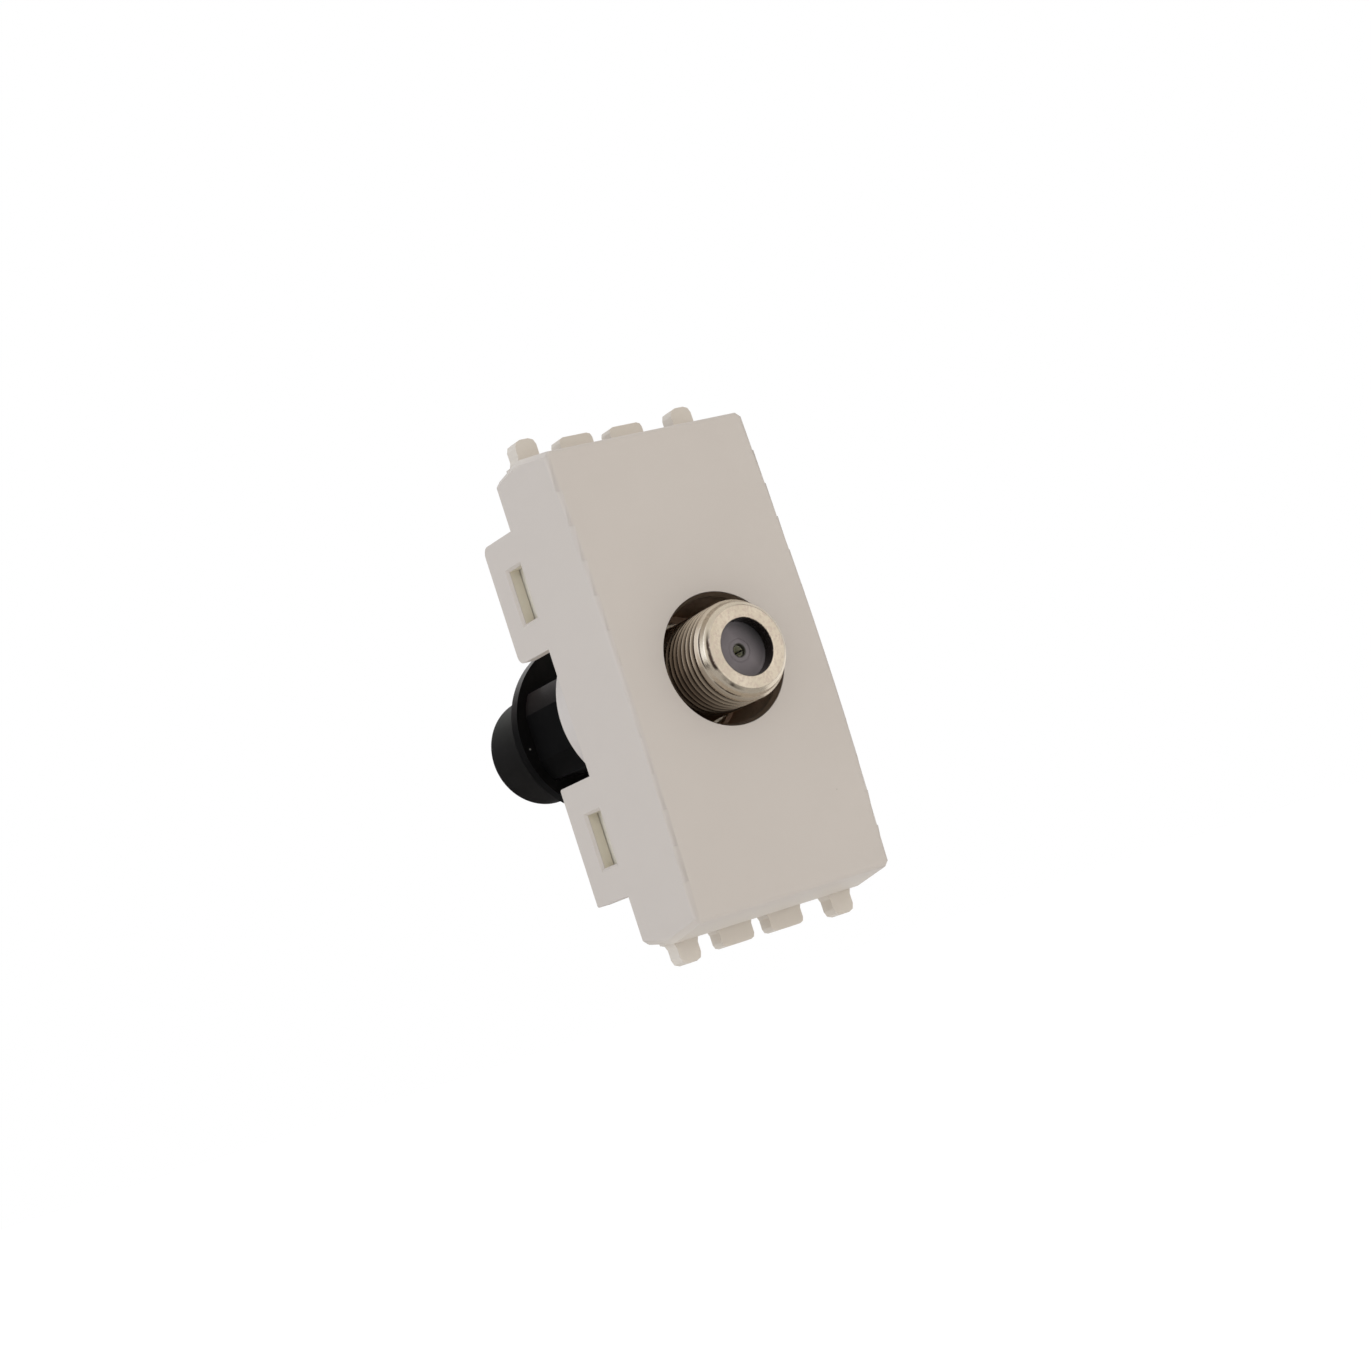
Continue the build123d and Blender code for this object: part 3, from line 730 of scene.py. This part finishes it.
def whiteForTheEye(tree):
    # 1 for camera, glossy and transmission rays, 0 for the rays that light the object
    path = addNode(tree, "ShaderNodeLightPath", {}).outputs
    seen = mathNode(tree, "MAXIMUM", path["Is Camera Ray"], path["Is Glossy Ray"])
    return mathNode(tree, "MAXIMUM", seen, path["Is Transmission Ray"])


def flatPiece(name, corners, material):
    # one quad from its corners in millimetres
    mesh = bpy.data.meshes.new(name)
    mesh.from_pydata([[value * mm for value in corner] for corner in corners], [], [(0, 1, 2, 3)])
    piece = bpy.data.objects.new(name, mesh)
    piece.data.materials.append(material)
    bpy.context.scene.collection.objects.link(piece)
    return piece


def makeWorld(shape):
    # plain white for the eye, a dimmer level for the rays that light the object
    world = bpy.data.worlds.new("studio")
    bpy.context.scene.world = world
    world.use_nodes = True
    air = world.node_tree
    level = mathNode(air, "MULTIPLY_ADD", whiteForTheEye(air), 1 - shape["worldLevel"], shape["worldLevel"])
    fillInputs(air, air.nodes["Background"], {"Color": (1, 1, 1), "Strength": level})
    arrange(air)


def makeFloor(shape):
    # a matt pale floor that glows: glow = bounce for every ray + more for the eye
    material = bpy.data.materials.new("paleFloor")
    material.use_nodes = True
    tree = material.node_tree
    glow = mathNode(tree, "MULTIPLY_ADD", whiteForTheEye(tree), shape["floorGlow"], shape["floorBounce"])
    setShader(tree, {"Base Color": (shape["floorColour"],) * 3, "Roughness": shape["floorRough"],
                     "Specular IOR Level": 0.0, "Emission Color": (1, 1, 1), "Emission Strength": glow})
    reach, level = shape["reach"], shape["floorZ"]
    corners = ((-reach, -reach, level), (reach, -reach, level), (reach, reach, level), (-reach, reach, level))
    return flatPiece("floor", corners, material)


makeWorld(stage)
floor = makeFloor(stage)

lampTarget = (0, 0.01, 0)  # in metres, as are the lamps' places and sizes
lamps = {
    "leftLamp": {"place": (-0.62, 0.08, 0.40), "size": 0.95, "watts": 2.4, "colour": (0.68, 0.80, 1.0)},
    "frontLamp": {"place": (0.10, -0.75, 0.25), "size": 0.50, "watts": 0.72, "colour": (1.0, 0.98, 0.95)},
}


def softLamp(name, shape):
    # a round soft lamp that looks at the target: its own Z points backwards
    lamp = bpy.data.lights.new(name, "AREA")
    lamp.shape = "DISK"
    lamp.size, lamp.energy, lamp.color = shape["size"], shape["watts"], shape["colour"]
    holder = bpy.data.objects.new(name, lamp)
    bpy.context.scene.collection.objects.link(holder)
    backwards = Vector(shape["place"]) - Vector(lampTarget)
    holder.location = shape["place"]
    holder.rotation_mode = "QUATERNION"
    holder.rotation_quaternion = backwards.to_track_quat("Z", "Y")


for lampName, shape in lamps.items():
    softLamp(lampName, shape)

# two mats and a wall away from the object that only reflections see: where they start and end, their level
mats = {
    "darkMat": {"x": (-900, 40), "y": (-900, 75), "z": (-44, -44), "level": 0.58},
    "darkMatBehind": {"x": (-900, 90), "y": (75, 600), "z": (-44, -44), "level": 0.04},
    "darkWall": {"x": (-900, -60), "y": (600, 600), "z": (-44, 500), "level": 0.05},
}


def darkMat(name, shape):
    # an even glow for glossy rays, clear for every other ray
    material = bpy.data.materials.new(name)
    material.use_nodes = True
    tree = material.node_tree
    tree.nodes.remove(tree.nodes["Principled BSDF"])
    path = addNode(tree, "ShaderNodeLightPath", {}).outputs
    clear = addNode(tree, "ShaderNodeBsdfTransparent", {}).outputs[0]
    dark = addNode(tree, "ShaderNodeEmission", {"Strength": shape["level"]}).outputs[0]
    both = addNode(tree, "ShaderNodeMixShader", {0: path["Is Glossy Ray"], 1: clear, 2: dark}).outputs[0]
    fillInputs(tree, tree.nodes["Material Output"], {"Surface": both})
    arrange(tree)
    (left, right), (near, far), (low, high) = shape["x"], shape["y"], shape["z"]
    corners = ((left, near, low), (right, near, low), (right, far, high), (left, far, high))
    flatPiece(name, corners, material)


for matName, shape in mats.items():
    darkMat(matName, shape)
print("stage made:", len(lamps), "lamps,", len(mats), "mats")

# the photo's camera: its place, and where its right, down and forward point
photo = {
    "sensorMm": 36, "lensMm": 80.597, "shiftX": 0.010158, "shiftY": -0.021977,
    "nearClip": 0.01, "farClip": 20,  # in metres
    "eyeMm": (-152.298, -233.553, -27.844), "right": (0.821903, -0.478420, -0.309177),
    "down": (-0.209745, 0.250456, -0.945134), "forward": (0.529606, 0.841657, 0.105504),
}


def makeCamera(shape):
    # the camera's own axes are right, up and back, the columns of its turn
    lens = bpy.data.cameras.new("photoCamera")
    lens.sensor_fit = "HORIZONTAL"
    lens.sensor_width, lens.lens = shape["sensorMm"], shape["lensMm"]
    lens.shift_x, lens.shift_y = shape["shiftX"], shape["shiftY"]
    lens.clip_start, lens.clip_end = shape["nearClip"], shape["farClip"]
    holder = bpy.data.objects.new("photoCamera", lens)
    right, up, back = Vector(shape["right"]), -Vector(shape["down"]), -Vector(shape["forward"])
    holder.rotation_mode = "QUATERNION"
    holder.rotation_quaternion = Matrix((right, up, back)).transposed().to_quaternion()
    holder.location = Vector(shape["eyeMm"]) * mm
    bpy.context.scene.collection.objects.link(holder)
    return holder


camera = makeCamera(photo)
bpy.context.scene.camera = camera
view = bpy.context.scene.view_settings
view.view_transform = "Standard"
